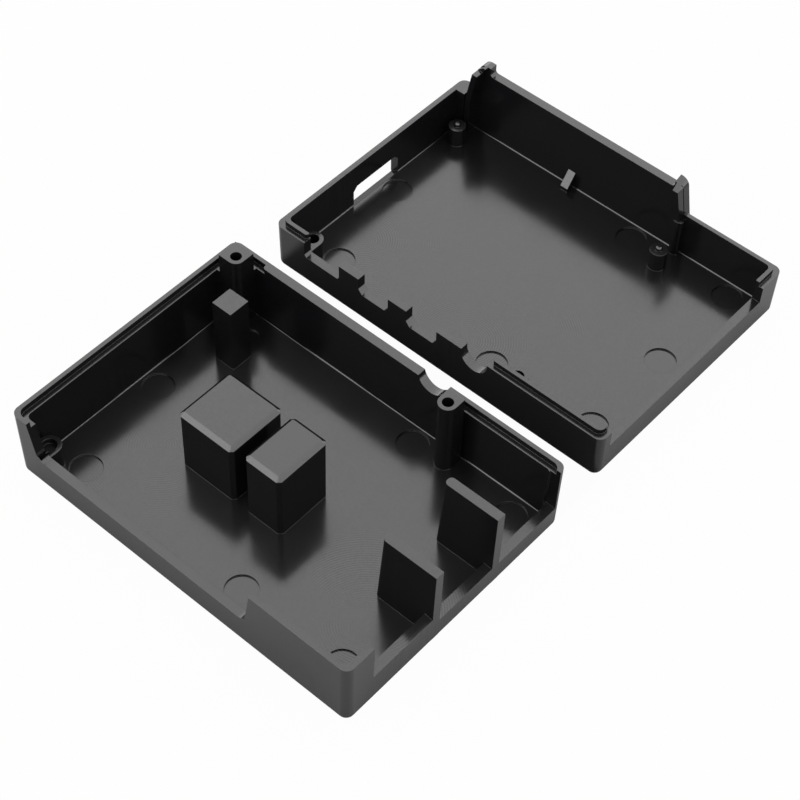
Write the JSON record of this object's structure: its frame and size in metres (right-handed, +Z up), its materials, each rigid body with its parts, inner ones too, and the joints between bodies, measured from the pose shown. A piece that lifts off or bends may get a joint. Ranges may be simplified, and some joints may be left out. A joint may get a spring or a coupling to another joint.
{
  "type": "two-part housing for a small computer board",
  "caption": "Two open moulded shells of a snap-together board housing, with screw posts, chip pillars, port slots and a flange that closes the header window.",
  "frame": {"origin": "middle of the footprint of the two open shells, on the surface that they lie on", "axes": "+Z up, +Y from the upper shell to the lower shell, +X along the long side of each shell towards its plug openings"},
  "size_m": [0.0909, 0.1404, 0.0222],
  "materials": {
    "moulded_shell": "black moulded plastic with a fine satin grain"
  },
  "bodies": {
    "root": {"lower_shell": "moulded_shell", "upper_shell": "moulded_shell"}
  },
  "joints": []
}
